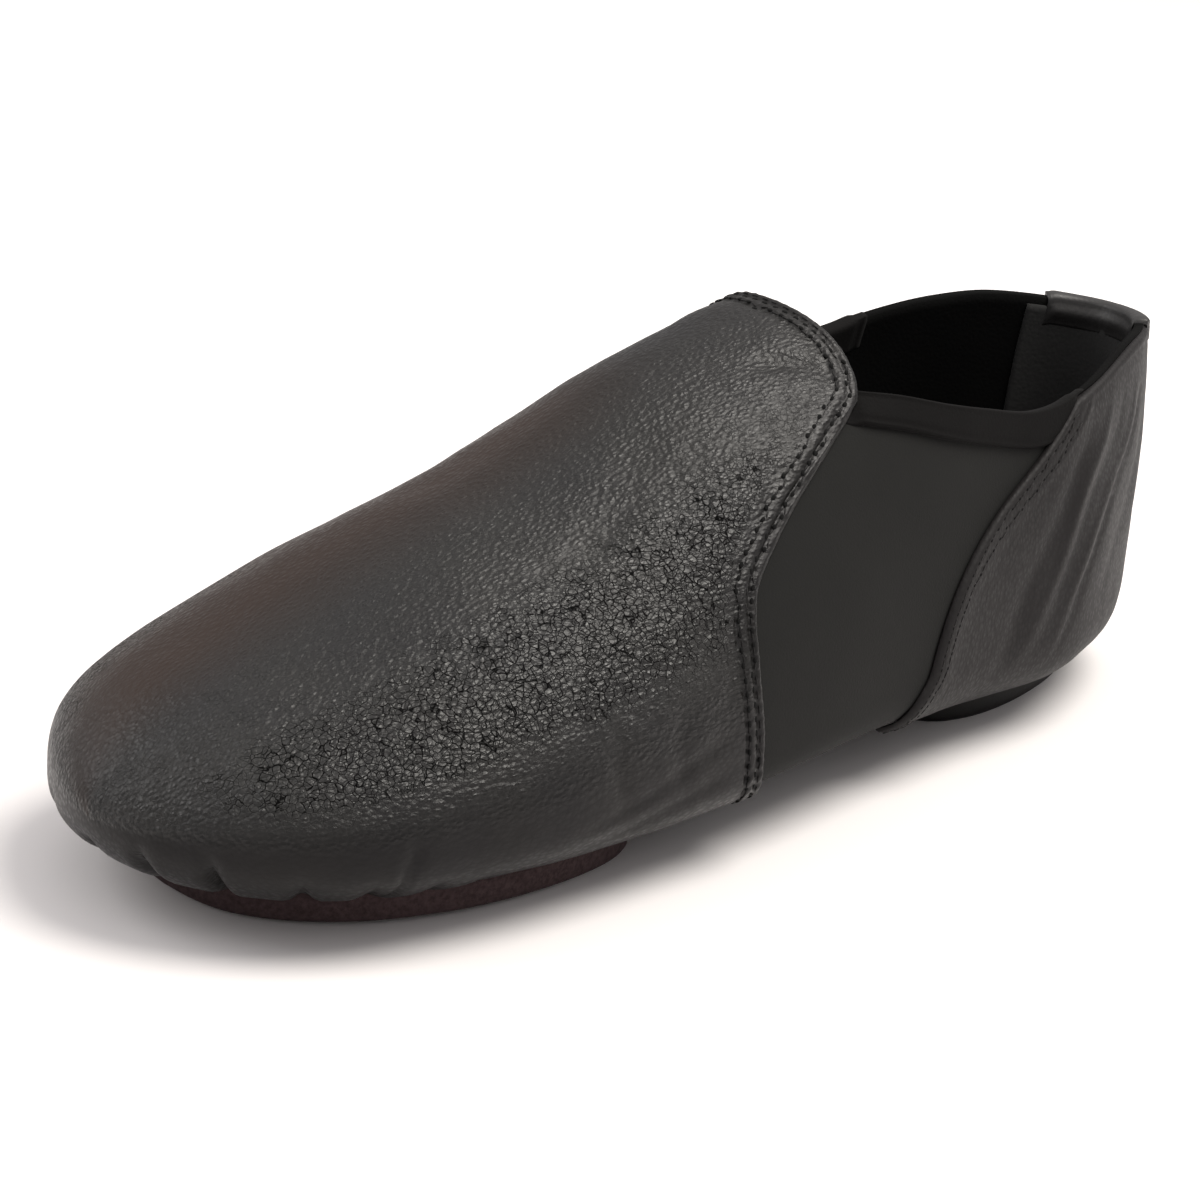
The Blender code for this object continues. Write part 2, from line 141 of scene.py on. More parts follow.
def sectionHeights(u):
    base = soleLine(u)
    bottom = base + last["archLift"] * section("arch", u) + last["toeSpring"] * section("spring", u)
    widest = base + last["instepHeight"] * section("widest", u)
    top = base + last["toeHeight"] + (last["instepHeight"] - last["toeHeight"]) * section("rise", u)
    return bottom, widest, top


def endRounding(u, name):
    # The share of a section that is left near an end
    reach, power = last[name]
    into = np.clip(1 - (1 - u if name.startswith("toe") else u) * last["length"] / reach, 0, 1)
    return (1 - into**power) ** (1 / power)


def form(u, v):
    # The outside of the leather. u runs from heel to toe, v round the section from the bottom, outer side first.
    bottom, widest, top = sectionHeights(u)
    heel = endRounding(u, "heelRound")
    toe = endRounding(u, "toeRound")
    drift = last["toeDrift"] * (1 - toe)
    lateral = halfWidth(u) * section("lateral", u) * heel * toe + drift
    medial = -halfWidth(u) * section("medial", u) * heel * toe + drift
    ridge = last["ballWidth"] / 2 * section("ridge", u) * heel * toe + drift
    sine = np.sin(2 * np.pi * v)
    cosine = np.cos(2 * np.pi * v)
    above = cosine < 0
    power = np.where(above, section("topPower", u), section("solePower", u))
    across = np.abs(sine) ** (2 / power)
    along = np.abs(cosine) ** (2 / power)
    middle = np.where(above, ridge, (lateral + medial) / 2)
    x = middle + (np.where(sine >= 0, lateral, medial) - middle) * across
    reach = np.where(above, top - widest, (bottom - widest) * endRounding(u, "heelCorner"))
    z = widest + reach * endRounding(u, "toeNose") * along
    shareUp = z / (soleLine(u) + last["collarBack"])
    lean = last["backTuck"] * np.clip(1 - 2.6 * shareUp, 0, 1) ** 2 - last["backLean"] * shareUp**1.5
    y = last["length"] / 2 - u * last["length"] - np.clip(1 - u / last["backReach"], 0, 1) ** 2 * lean
    return np.stack([x, y, z], axis=-1)


def unit(vectors):
    return vectors / np.linalg.norm(vectors, axis=-1, keepdims=True)


def outward(u, v):
    step = 0.002
    inside = np.clip(u, 2 * step, 1 - 2 * step)
    along = form(inside + step, v) - form(inside - step, v)
    around = form(inside, v + step) - form(inside, v - step)
    return unit(np.cross(around, along))


def normalAt(u, v):
    # At the very ends, where a section shrinks to a line or a point, the normal is set from both sides
    normal = outward(u, v)
    back = (normal + outward(u, 1 - v)) * np.array([0.0, 1.0, 1.0])
    normal = np.where((u < 1e-6)[..., None], back, normal)
    return unit(np.where((u > 1 - 1e-6)[..., None], np.array([0.0, -1.0, 0.0]), normal))


# How far the frame is from the last's own coordinates: the toe's tip and the widest place tell
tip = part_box("vamp")[0].y + last["length"] / 2
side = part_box("vamp")[1].x - form(np.linspace(0.6, 0.95, 400), np.full(400, 0.25))[:, 0].max()
frameShift = np.array([side, tip, 0.0])


def skin(u, v, out):
    u, v = np.broadcast_arrays(np.asarray(u, float), np.asarray(v, float))
    return form(u, v) + np.asarray(out)[..., None] * normalAt(u, v) + frameShift


vampEdge = partial(tableAt, vampEdgeRows, 1)
quarterEdge = partial(tableAt, quarterEdgeRows, 1)
throat = float(vampEdge(1.0))


def turnAt(u, height, medial):
    # The turn of the section at a height over the sole line
    bottom, widest, top = sectionHeights(u)
    z = soleLine(u) + height
    up = np.clip((z - widest) / (top - widest), 0, 1)
    down = np.clip((widest - z) / (widest - bottom), 0, 1)
    high = 0.5 - np.arccos(up ** (section("topPower", u) / 2)) / (2 * np.pi)
    low = np.arccos(down ** (section("solePower", u) / 2)) / (2 * np.pi)
    turn = np.where(z >= widest, high, low)
    return np.where(medial, 1 - turn, turn)


def collarTurn(u, medial, reach=0.0):
    # Past the throat the collar's turn stays as it is; reach lets it climb on for a share of the length
    at = np.minimum(u, throat + reach)
    height = last["collarDip"] + (last["collarBack"] - last["collarDip"]) * tableAt(collarRows, 1, at)
    height = height + (last["collarThroat"] - last["collarDip"]) * tableAt(collarRows, 2, at)
    return turnAt(at, height + medial * last["medialRise"] * ease(0.0, 0.15, at), medial)


def girthTurn(u, girth, medial):
    low = np.where(medial, 1 - last["leatherMargin"], last["leatherMargin"])
    return low + (collarTurn(u, medial) - low) * girth


# Meshes from grids of points

def netFaces(index):
    # The cells of a net, from the numbers of its points in rows and columns
    return np.stack([index[:-1, :-1], index[:-1, 1:], index[1:, 1:], index[1:, :-1]], axis=-1)


def meshObject(name, verts, faces, merge, closed=False, fields=()):
    # Points that meet are joined, loose ones dropped, and a closed piece's faces turned outward. fields are values at
    # the points that the material reads.
    mesh = bpy.data.meshes.new(name)
    mesh.from_pydata(np.reshape(verts, (-1, 3)).tolist(), [], faces)
    for field, values in dict(fields).items():
        mesh.attributes.new(field, "FLOAT", "POINT").data.foreach_set("value", np.ravel(values).astype(np.float32))
    build = bmesh.new()
    build.from_mesh(mesh)
    bmesh.ops.remove_doubles(build, verts=build.verts, dist=merge)
    bmesh.ops.delete(build, geom=[vert for vert in build.verts if not vert.link_faces], context="VERTS")
    if closed:
        bmesh.ops.recalc_face_normals(build, faces=build.faces)
    build.to_mesh(mesh)
    build.free()
    mesh.shade_smooth()
    piece = bpy.data.objects.new(name, mesh)
    bpy.context.scene.collection.objects.link(piece)
    return piece


def addPiece(name, points, keep=True, ring=False, fields=(), thickness=0.0, caps=False):
    # A grid of points becomes a smooth surface. keep drops cells, and a ring closes on its first column.
    rows, columns = points.shape[:2]
    index = np.arange(rows * columns).reshape(rows, columns)
    ends = [index[0][::-1].tolist(), index[-1].tolist()] if caps else []
    if ring:
        index = np.concatenate([index, index[:, :1]], axis=1)
    cells = netFaces(index)
    cells = cells[np.broadcast_to(keep, cells.shape[:2])].tolist()
    piece = meshObject(name, points, cells + ends, 0.02 * mm, caps, fields)
    if thickness:
        wall = piece.modifiers.new("wall", "SOLIDIFY")
        wall.thickness = thickness
    return piece


def dress(piece, surface, slot, *nodes):
    piece.data.materials.append(surface)
    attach(piece, "root")
    if nodes:
        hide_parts(*nodes)
    return piece


def nearLine(points, line):
    # The distance of each point to a line of points, and how far along the line the nearest place is
    flat = points.reshape(-1, 3)
    best = np.full(len(flat), 1.0)
    place = np.zeros(len(flat))
    start = 0.0
    for a, b in zip(line, line[1:]):
        step = np.linalg.norm(b - a)
        if step < 1e-9:
            continue
        t = np.clip((flat - a) @ (b - a) / step**2, 0, 1)
        gap = np.linalg.norm(flat - a - t[:, None] * (b - a), axis=1)
        nearer = gap < best
        best[nearer] = gap[nearer]
        place[nearer] = start + t[nearer] * step
        start += step
    return best.reshape(points.shape[:-1]), place.reshape(points.shape[:-1]), start


def smoothLine(stops, count):
    rows = np.column_stack([np.linspace(0, 1, len(stops)), stops])
    return [tableAt(rows, k, np.linspace(0, 1, count)) for k in (1, 2)]


def creaseField(points, creases, medial):
    # Soft troughs (below zero) and ridges (above), each along a listed line of places on the last
    lift = np.zeros(points.shape[:-1])
    for depth, width, stops in creases:
        u, height = smoothLine(stops, 24)
        path = skin(u, turnAt(u, height * mm, medial), 0.0)
        gap, place, length = nearLine(points, path)
        fade = np.clip(np.minimum(place, length - place) / (0.3 * length), 0, 1)
        lift += depth * mm * np.exp(-((gap / (width * mm)) ** 2)) * (0.15 + 0.85 * fade * (2 - fade))
    return lift


def waviness(points, size, seed):
    # Slow unevenness of the hide, the same at every run
    offset = Vector((seed * 7.3, seed * 3.1, seed * 5.7))
    flat = [noise.noise(Vector(point) / size + offset) for point in points.reshape(-1, 3)]
    return np.array(flat).reshape(points.shape[:-1])


# Materials

def srgb(text):
    parts = [int(text[i : i + 2], 16) / 255 for i in (1, 3, 5)]
    return [c / 12.92 if c <= 0.04045 else ((c + 0.055) / 1.055) ** 2.4 for c in parts] + [1.0]


def newMaterial(name, values):
    made = bpy.data.materials.new(name)
    made.use_nodes = True
    shader = made.node_tree.nodes["Principled BSDF"]
    for key, value in values.items():
        shader.inputs[key].default_value = value
    return made, shader, partial(addNode, made.node_tree)


def linkInto(node, links):
    for key, source in dict(links).items():
        node.id_data.links.new(source, node.inputs[key])


def addNode(tree, kind, settings=(), links=(), result=0):
    # Inputs go by name, or by number where two share a name. result is the output that the next node takes.
    node = tree.nodes.new("ShaderNode" + kind)
    for key, value in dict(settings).items():
        if isinstance(key, int) or key in node.inputs:
            node.inputs[key].default_value = value
        else:
            setattr(node, key, value)
    linkInto(node, links)
    return node.outputs[result]


def ramp(colour, stops):
    # Sets the two stops of the ramp that the colour comes from, each a place and a colour
    band = colour.node.color_ramp
    for element, (at, value) in zip(band.elements, stops):
        element.position = at
        element.color = srgb(value)
    return colour


soft = {"interpolation_type": "SMOOTHSTEP"}
scaled = {"operation": "MULTIPLY_ADD"}  # input 0 times input 1, plus input 2


def makeLeather(name, look):
    # Full-grain cowhide, milled and pigment finished: short flecks of light on its fine grain, and a net of thin
    # cracks where it has flexed, darkened with painted shade
    made, shader, add = newMaterial(name, {"IOR": 1.5})
    place = add("TexCoord", result="Object")
    flex = add("Attribute", {"attribute_name": "flex"}, result="Fac")
    warmth = add("Attribute", {"attribute_name": "warmth"}, result="Fac")
    at = {"Vector": place}
    wobble = add("TexNoise", {"Scale": 1 / look["bendSize"]}, at, "Color")
    bent = add("VectorMath", {**scaled, 1: (look["bend"],) * 3}, {0: wobble, 2: place})
    along = add("Mapping", {"Scale": look["stretch"]}, {"Vector": bent})
    streak = {"Vector": add("Mapping", {"Scale": look["fleckStretch"]}, at)}
    patches = add("TexNoise", {"Scale": 1 / look["patchSize"]}, at)
    broken = add("TexNoise", {"Scale": 1 / look["breakSize"], "Detail": 3.0}, at)
    fine = add("TexNoise", {"Scale": 1 / look["poreSize"], "Roughness": 0.6}, streak)
    grain = add("TexVoronoi", {"Scale": 1 / look["pebble"]}, streak)
    # Cracks open with the flex, and come and go along the net
    opening = add("MapRange", {1: 0.32, 2: 0.60, 3: 0.68, 4: 1.0}, {0: broken})
    share = add("Math", {"operation": "MULTIPLY"}, {0: opening, 1: flex})
    wide = add("Math", {**scaled, 1: look["crackWidth"], 2: 0.004}, {0: share})
    cuts = []
    for size, vector in ((look["crackSize"], bent), (look["smallCrack"], along)):
        edge = add("TexVoronoi", {"feature": "DISTANCE_TO_EDGE", "Scale": 1 / size}, {"Vector": vector})
        cuts.append(add("MapRange", {**soft, 1: 0.0, 3: 1.0, 4: 0.0}, {0: edge, 2: wide}))
    both = add("Math", {**scaled, 1: 0.45}, {0: cuts[1], 2: cuts[0]})
    shown = add("MapRange", {**soft, 1: 0.36, 2: 0.86, 3: 0.0, 4: 1.0}, {0: share})
    depth = add("Math", {"operation": "MULTIPLY", "use_clamp": True}, {0: both, 1: shown})
    # Pebbles and pores between the cracks, bolder where the hide has flexed
    bold = add("MapRange", {1: 0.0, 2: 0.55, 3: look["pebbleLow"], 4: look["pebbleHigh"]}, {0: flex})
    pebbles = add("Math", {**scaled, 1: -0.9}, {0: grain, 2: fine})
    relief = add("Math", {"operation": "MULTIPLY"}, {0: pebbles, 1: bold})
    height = add("Math", {**scaled, 1: -look["crackDepth"]}, {0: depth, 2: relief})
    bump = add("Bump", {"Strength": look["bump"], "Distance": look["relief"]}, {"Height": height})
    worn = ramp(add("ValToRGB", {}, {0: patches}), [(0.35, look["dark"]), (0.65, look["light"])])
    # Painted reflection: a warm brown mixed in over the vamp's inner top, and as an even tint over the quarter
    tinted = add("Mix", {"data_type": "RGBA", 7: srgb(look["warm"])}, {0: warmth, 6: worn}, 2)
    # Painted shade: down in each crack the base colour goes near black
    base = add("Mix", {"data_type": "RGBA", 7: srgb(look["paintedCrackShade"])}, {0: depth, 6: tinted}, 2)
    # Rubbed hide shines most; down in a crack the shine is cut to a little, as painted shade
    rubbed = ramp(add("ValToRGB", {}, {0: flex}), [(0.0, look["shine"]), (0.8, "#ffffff")])
    shine = add("Mix", {"data_type": "RGBA", 7: srgb("#303030")}, {0: depth, 6: rubbed}, 2)
    satin = add("MapRange", {1: 0.10, 2: 0.60, 3: look["gloss"][0], 4: look["gloss"][1]}, {0: grain})
    rough = add("Math", {**scaled, 1: 0.5}, {0: depth, 2: satin})
    linkInto(shader, {"Normal": bump, "Base Color": base, "Specular Tint": shine, "Roughness": rough})
    return made


def makeCloth(name, dark, light, thread, roughness, relief, nap, gleam=0.2):
    # Knitted or woven cloth: rows of small loops, matt, with a faint nap at grazing angles. The threads' spacing is
    # drawn as coarse as it needs to be to show.
    made, shader, add = newMaterial(name, {
        "IOR": 1.45, "Roughness": roughness, "Sheen Weight": nap, "Specular IOR Level": gleam})
    at = {"Vector": add("TexCoord", result="Object")}
    loops = add("TexVoronoi", {"Scale": 1 / thread}, at)
    fuzz = add("TexNoise", {"Scale": 1 / (thread * 0.6), "Detail": 3.0}, at)
    shade = add("TexNoise", {"Scale": 1 / (20 * mm)}, at)
    height = add("Math", {"operation": "SUBTRACT"}, {0: fuzz, 1: loops})
    bump = add("Bump", {"Strength": 0.6, "Distance": relief}, {"Height": height})
    mixed = add("Math", {**scaled, 1: 0.35}, {0: fuzz, 2: shade})
    colour = ramp(add("ValToRGB", {}, {0: mixed}), [(0.45, dark), (0.85, light)])
    linkInto(shader, {"Normal": bump, "Base Color": colour})
    return made


def makePlain(name, dark, light, roughness, grain, relief):
    # A matt body with grain of one size, darker in its hollows
    made, shader, add = newMaterial(name, {"IOR": 1.5, "Roughness": roughness, "Specular IOR Level": 0.25})
    at = {"Vector": add("TexCoord", result="Object")}
    spots = add("TexNoise", {"Scale": 1 / grain, "Detail": 5.0, "Roughness": 0.65}, at)
    bump = add("Bump", {"Strength": 0.7, "Distance": relief}, {"Height": spots})
    colour = ramp(add("ValToRGB", {}, {0: spots}), [(0.35, dark), (0.65, light)])
    linkInto(shader, {"Normal": bump, "Base Color": colour})
    return made


vampLook = {
    "dark": "#0c0b0b",  # the finish, in slow patches from dark to light
    "light": "#12110f",
    # colour of the painted warm reflection on the inner top
    "warm": "#24160c",
    "paintedCrackShade": "#020202",  # painted shade down in a crack
    "shine": "#a6a4a7",  # tint of the highlights where the hide hasn't flexed
    "gloss": (0.29, 0.47),  # roughness on a pebble and between pebbles
    "bump": 1.0,
    "relief": 0.3 * mm,
    "patchSize": 20 * mm,
    "pebble": 0.8 * mm,
    "poreSize": 0.9 * mm,
    "pebbleLow": 0.12,  # how bold the grain is where the hide is flat, and where it has flexed
    "pebbleHigh": 0.92,
    "fleckStretch": (1.0, 0.6, 1.0),
    "crackDepth": 0.7,
    "crackWidth": 0.074,  # as a share of the net's cells
    "crackSize": 1.3 * mm,
    "smallCrack": 0.9 * mm,
    "stretch": (1.0, 0.55, 1.0),
    "breakSize": 4 * mm,  # how far apart the cracks come and go
    "bendSize": 2.6 * mm,
    "bend": 1.6 * mm,
}
# The quarter's hide is softer and duller, with upright grain and hardly any cracks
quarterLook = dict(
    vampLook, dark="#121111", light="#171616", warm="#171313", shine="#8a888b", gloss=(0.50, 0.62), bump=0.45,
    crackDepth=0.5, stretch=(1.0, 1.0, 0.5), fleckStretch=(1.0, 1.0, 0.7), pebbleLow=0.10)
tabLook = dict(quarterLook, dark="#1e1d1d", light="#242323", shine="#ffffff", gloss=(0.42, 0.52))
vampLeather = makeLeather("pebbledVampLeather", vampLook)
quarterLeather = makeLeather("softQuarterLeather", quarterLook)
tabLeather = makeLeather("rubbedTabLeather", tabLook)  # polished by the fingers that pull at it
# Knitted elastic: covered rubber ribs, too fine to show, give one even dark grey with hardly any relief
elasticCloth = makeCloth(
    "elasticGusset", "#121211", "#151514", thread=0.5 * mm, roughness=0.80, relief=0.03 * mm, nap=0.03)
# Woven tape, folded and sewn down: darker than the elastic, with a little more weave
tapeCloth = makeCloth(
    "foldedBindingTape", "#080707", "#0c0b0b", thread=0.6 * mm, roughness=0.75, relief=0.06 * mm, nap=0.015, gleam=0.1)
# Brushed black tricot, drawn darker still as painted shade for the dark inside of the shoe
liningCloth = makeCloth(
    "blackLiningWithPaintedShade", "#040404", "#090909", thread=0.8 * mm, roughness=0.92, relief=0.1 * mm, nap=0.0, gleam=0.1)
# Napped black grip cloth at the heel, drawn a flat grey as painted sheen against the black lining
panelCloth = makeCloth(
    "heelGripLining", "#242424", "#2d2d2d", thread=0.9 * mm, roughness=0.88, relief=0.1 * mm, nap=0.05)
# Bonded nylon, twisted and waxed: each stitch catches a small soft light
threadBlack = makePlain("bondedNylonThread", "#0a0909", "#161414", roughness=0.55, grain=0.4 * mm, relief=0.05 * mm)
# Pierced hide in its own shadow: no shine
holeBlack = makePlain("needleHole", "#020202", "#050505", roughness=0.95, grain=0.4 * mm, relief=0.05 * mm)
# Rubber from a blasted mould: near black and even, with a dull edge
padRubber = makePlain("mouldedHeelRubber", "#080607", "#0d0b0b", roughness=0.60, grain=1.2 * mm, relief=0.06 * mm)
# Split suede, buffed: a short reddish nap with no shine, drawn coarser than it is so that it shows
patchSuede = makePlain("suedeForefootPatch", "#2d2122", "#423435", roughness=0.92, grain=0.9 * mm, relief=0.18 * mm)
print("materials ready")


# The vamp

hide = {
    "wall": 0.35 * mm,  # shown thickness of the single hide behind the turned edge
    "edgeDrop": 0.95 * mm,  # how far the turned edge comes down to the elastic
    "edgeRound": 1.1 * mm,
}
vamp = {
    "seamRows": (2.2 * mm, 4.8 * mm),
    "seamDepth": 0.34 * mm,
    "seamWidth": 0.42 * mm,
    "pinch": 0.38,  # share of the seam's depth that comes and goes with the stitches
    "hemPuff": 0.30 * mm,
    "puffWidths": (1.1 * mm, 1.0 * mm),  # half widths, between the rows and outside them
    "waves": ((0.22 * mm, 16 * mm), (0.10 * mm, 6 * mm)),  # height and size of the hide's unevenness
    "innerFolds": 0.6,  # strength of the creases on the inner side
    "tongueRoll": 0.7 * mm,
    "cornerCut": 0.0100,  # shares of the length
    "topBow": 0.0155,
    "pitch": 2.5 * mm,
}

# Each crease: depth (above zero is a ridge), half width, then its places as share of length and height, in mm
vampCreases = (
    (0.95, 3.4, ((0.434, 68), (0.452, 66), (0.478, 62), (0.508, 56))),
    (-0.95, 2.0, ((0.424, 70.5), (0.446, 72), (0.478, 72.5))),
    (-0.6, 2.4, ((0.520, 54), (0.560, 45), (0.600, 35), (0.607, 24))),
    (0.45, 4.5, ((0.500, 66), (0.560, 55), (0.620, 43), (0.660, 33))),
    (-0.35, 3.4, ((0.560, 66), (0.640, 53), (0.720, 42))),
    (0.30, 4.2, ((0.480, 79), (0.560, 71), (0.660, 58), (0.760, 45))),
    (-0.35, 2.2, ((0.640, 30), (0.660, 22), (0.650, 13))),
    (-0.30, 2.0, ((0.700, 31), (0.715, 22), (0.705, 13))),
    (-0.35, 1.6, ((0.596, 15), (0.680, 10.5), (0.760, 7))),
    (-0.30, 1.3, ((0.610, 21), (0.680, 15), (0.740, 11.5))),
    (-0.85, 0.8, ((0.868, 16), (0.872, 10), (0.870, 4))),
)

# Pleats gathered under the toe: bearing round the toe from the tip, in degrees, outer side above zero; depth, half
# width and height in mm
toePleats = (
    (-96, 0.7, 1.6, 8), (-80, 0.9, 1.5, 9), (-62, 1.2, 1.4, 10), (-44, 1.3, 1.4, 10), (-26, 1.5, 1.3, 11),
    (-8, 1.5, 1.3, 11), (10, 1.6, 1.2, 12), (27, 2.5, 1.2, 12), (48, 1.3, 1.3, 11), (66, 1.1, 1.4, 10),
    (84, 0.8, 1.5, 9), (98, 0.6, 1.6, 8),
)
toeCentre = (0.0, -0.083)
pleatPuff = 0.7 * mm


def pleatField(points):
    # Troughs that climb from under the toe, with the leather puffed between them
    x = points[..., 0] - toeCentre[0]
    y = toeCentre[1] - points[..., 1]
    bearing = np.degrees(np.arctan2(x, y))
    reach = np.hypot(x, y)
    u = np.clip((last["length"] / 2 - points[..., 1] + frameShift[1]) / last["length"], 0, 1)
    height = points[..., 2] - sectionHeights(u)[0]
    lift = np.zeros(height.shape)
    cover = np.zeros(height.shape)
    for at, depth, width, tall in toePleats:
        aside = np.radians(bearing - at) * reach
        fade = 1 - ease(0.25 * tall * mm, tall * mm, height)
        trough = np.clip(1 - np.abs(aside) / (2.4 * width * mm), 0, 1) ** 2
        lift -= depth * mm * trough * fade
        cover = np.maximum(cover, trough * fade)
    front = ease(-110, -92, bearing) * (1 - ease(92, 110, bearing))
    return lift + pleatPuff * (1 - cover) * (1 - ease(0.003, 0.011, height)) * front * ease(0.010, 0.022, reach)


def seamGrooves(piece, gap, place):
    # A groove under each row of stitches, pinched once a stitch
    pinch = 1 - piece["pinch"] + piece["pinch"] * np.cos(2 * np.pi * place / piece["pitch"])
    return piece["seamDepth"] * pinch * sum(
        np.exp(-(((gap - row) / piece["seamWidth"]) ** 2)) for row in piece["seamRows"])


def edgeRoll(gap):
    # How far a place near the edge has turned down: none past the rounding, all of it at the edge
    return 1 - np.sqrt(1 - np.clip(1 - gap / hide["edgeRound"], 0, 1) ** 2)


def denseGirths(count, crowded):
    # Shares of the girth, closer together at the collar
    t = np.linspace(0, 1, count)
    return t * (1 - crowded) + crowded * (1 - (1 - t) ** 2)


def underTurns(count):
    # Turns of the section under the foot, between the two lower edges of the leather
    return np.linspace(-last["leatherMargin"], last["leatherMargin"], count)[1:-1]


sideGirths = denseGirths(104, 0.15)
topShares = np.linspace(0, 1, 64)[1:-1]
edgeCount = 2 * len(sideGirths) + len(topShares)  # columns of the vamp that aren't under the foot


def shownEdge(girth):
    # The leather's corner with the collar is rounded off
    return vampEdge(girth) + vamp["cornerCut"] * ease(0.965, 1.0, girth)


def topEdge(share):
    # Over the top the edge bows back between its two corners
    side = np.minimum(share, 1 - share)
    bow = vamp["topBow"] * (1 - (1 - np.clip(side / 0.26, 0, 1)) ** 2.6)
    return shownEdge(1.0) - bow + 0.002 * ease(0.25, 0.5, side)


def vampNet(shares):
    # Places on the last for a ring of columns: outer side, over the top, inner side, and back under the foot
    side = shownEdge(sideGirths)
    turns = underTurns(28)
    starts = (side, topEdge(topShares), side[::-1], np.full(len(turns), shownEdge(0.0)))
    lateral, top, medial, under = (start + (1 - start) * shares[:, None] for start in starts)
    low = collarTurn(top, False)
    vs = (girthTurn(lateral, sideGirths, False), low + (collarTurn(top, True) - low) * topShares,
          girthTurn(medial, sideGirths[::-1], True), 0.0 * under + turns)
    return np.concatenate((lateral, top, medial, under), axis=1), np.concatenate(vs, axis=1)


def vampLift(plain, u, turn, gap, place):
    # Creases, waves and pleats first, then the seams and the puffed hem along the edge, then the turned edge itself
    away = ease(0.002, 0.012, gap)
    (tall, size), (lowTall, lowSize) = vamp["waves"]
    lift = creaseField(plain, vampCreases, False) + vamp["innerFolds"] * creaseField(plain, vampCreases, True)
    lift *= 0.35 + 0.65 * away
    lift += tall * waviness(plain, size, 1) * away + lowTall * waviness(plain, lowSize, 2)
    lift += pleatField(plain)
    first, second = vamp["seamRows"]
    between, outside = vamp["puffWidths"]
    twist = np.cos(2 * np.pi * (place + 0.8 * gap) / vamp["pitch"])
    lift -= seamGrooves(vamp, gap, place)
    puff = np.exp(-(((gap - (first + second) / 2) / between) ** 2)) + np.exp(-(((gap - first / 2) / outside) ** 2))
    lift += vamp["hemPuff"] * puff * (1 + 0.35 * twist) * (1 - ease(second, second + 0.004, gap))
    roll = edgeRoll(gap)
    # At its two corners the edge comes down on the tape, not on the elastic
    corners = plain[0, [len(sideGirths) - 1, len(sideGirths) + len(topShares)]]
    nearCollar = np.linalg.norm(plain[:, :, None] - corners, axis=-1).min(axis=-1)
    onTape = (turn > 0.36) * ease(0.0, 0.003, 0.0075 - nearCollar)
    lift = lift * (1 - roll) - (hide["edgeDrop"] - 0.5 * mm * onTape) * roll
    lift += 0.25 * mm * onTape * (1 - ease(0.003, 0.008, gap))
    lift -= vamp["tongueRoll"] * (1 - ease(0.0, 0.011, gap)) * ease(0.40, 0.44, turn)
    return lift * ease(0.0, 0.004, (1 - u) * last["length"])  # the toe's crowded tip is kept smooth


def vampWear(u, v, turn, gap):
    # flex: none low down, some over the top and toe, less on the inner side, most on the cracked flank of the ball.
    # warmth: a warm reflection painted on the inner top.
    second = vamp["seamRows"][1]
    inner = ease(0.46, 0.53, v) * (1 - ease(0.80, 0.90, v))
    flank = ease(0.275, 0.335, turn) * (1 - ease(0.375, 0.465, turn)) * (0.45 + 0.55 * ease(0.42, 0.60, u))
    flank *= (1 - 0.45 * ease(0.90, 0.99, u)) * ease(second - 0.0005, second + 0.003, gap)
    grained = (0.50 + 0.06 * ease(0.82, 0.92, u)) * ease(0.245, 0.305, turn) * (1 - 0.55 * inner)
    grained *= 0.35 + 0.65 * ease(0.3 * second, second + 0.002, gap)
    warmth = inner * (1 - 0.85 * ease(0.58, 0.70, v)) * ease(0.50, 0.62, u) * (1 - 0.6 * ease(0.93, 1.0, u))
    return {"flex": np.maximum(grained, flank), "warmth": warmth}


def makeVamp():
    crowded = 1 - (1 - np.linspace(0, 1, 44)[1:]) ** 2
    shares = np.concatenate([np.linspace(0, 0.062, 24), np.linspace(0.062, 0.84, 74)[1:], 0.84 + 0.16 * crowded])
    u, v = vampNet(shares)
    turn = np.minimum(v % 1, 1 - v % 1)
    plain = skin(u, v, 0.0)
    gap, place = nearLine(plain, plain[0, :edgeCount])[:2]
    gap[0] = 0.0
    points = skin(u, v, vampLift(plain, u, turn, gap, place))
    # Under the foot the leather is open but for the toe and a margin to each side
    keep = (np.arange(u.shape[1]) < edgeCount - 1) | (u[:-1] > 0.90) | (np.abs(v[:-1]) > 0.093)
    piece = addPiece("vampLeather", points, keep, True, vampWear(u, v, turn, gap), hide["wall"])
    return dress(piece, vampLeather, "leather", "vamp")


vampPiece = makeVamp()
print("vamp ready")


# The quarter round the heel

quarter = {
    "seamRows": (1.5 * mm, 3.4 * mm),
    "seamDepth": 0.20 * mm,
    "seamWidth": 0.40 * mm,
    "pinch": 0.40,
    "hemWidth": 5.8 * mm,
    "hemRise": 0.20 * mm,
    "topGroove": (2.2 * mm, 0.18 * mm, 0.6 * mm),  # distance from the collar, depth and half width
    "waves": ((0.25 * mm, 14 * mm), (0.08 * mm, 5 * mm)),
    "innerFolds": 0.7,
    "parting": (0.050, 0.090),  # shares of the length between which the lower edges part under the heel
    "pitch": 2.6 * mm,
}
quarterCreases = (
    (0.55, 1.7, ((0.140, 62), (0.150, 55), (0.195, 43), (0.222, 30), (0.262, 13))),
    (-0.55, 2.2, ((0.170, 60), (0.198, 50), (0.228, 38), (0.258, 27), (0.285, 13))),
    (-0.30, 1.6, ((0.112, 62), (0.130, 52), (0.178, 42), (0.206, 30), (0.243, 13))),
    (0.50, 1.3, ((0.080, 58), (0.103, 50), (0.155, 40), (0.190, 28), (0.222, 13))),
    (-0.45, 1.1, ((0.070, 56), (0.092, 48), (0.145, 38), (0.180, 26), (0.212, 13))),
    (-0.25, 2.4, ((0.050, 50), (0.075, 40), (0.120, 28), (0.150, 18))),
    (0.25, 3.0, ((0.030, 50), (0.055, 38), (0.090, 26))),
)


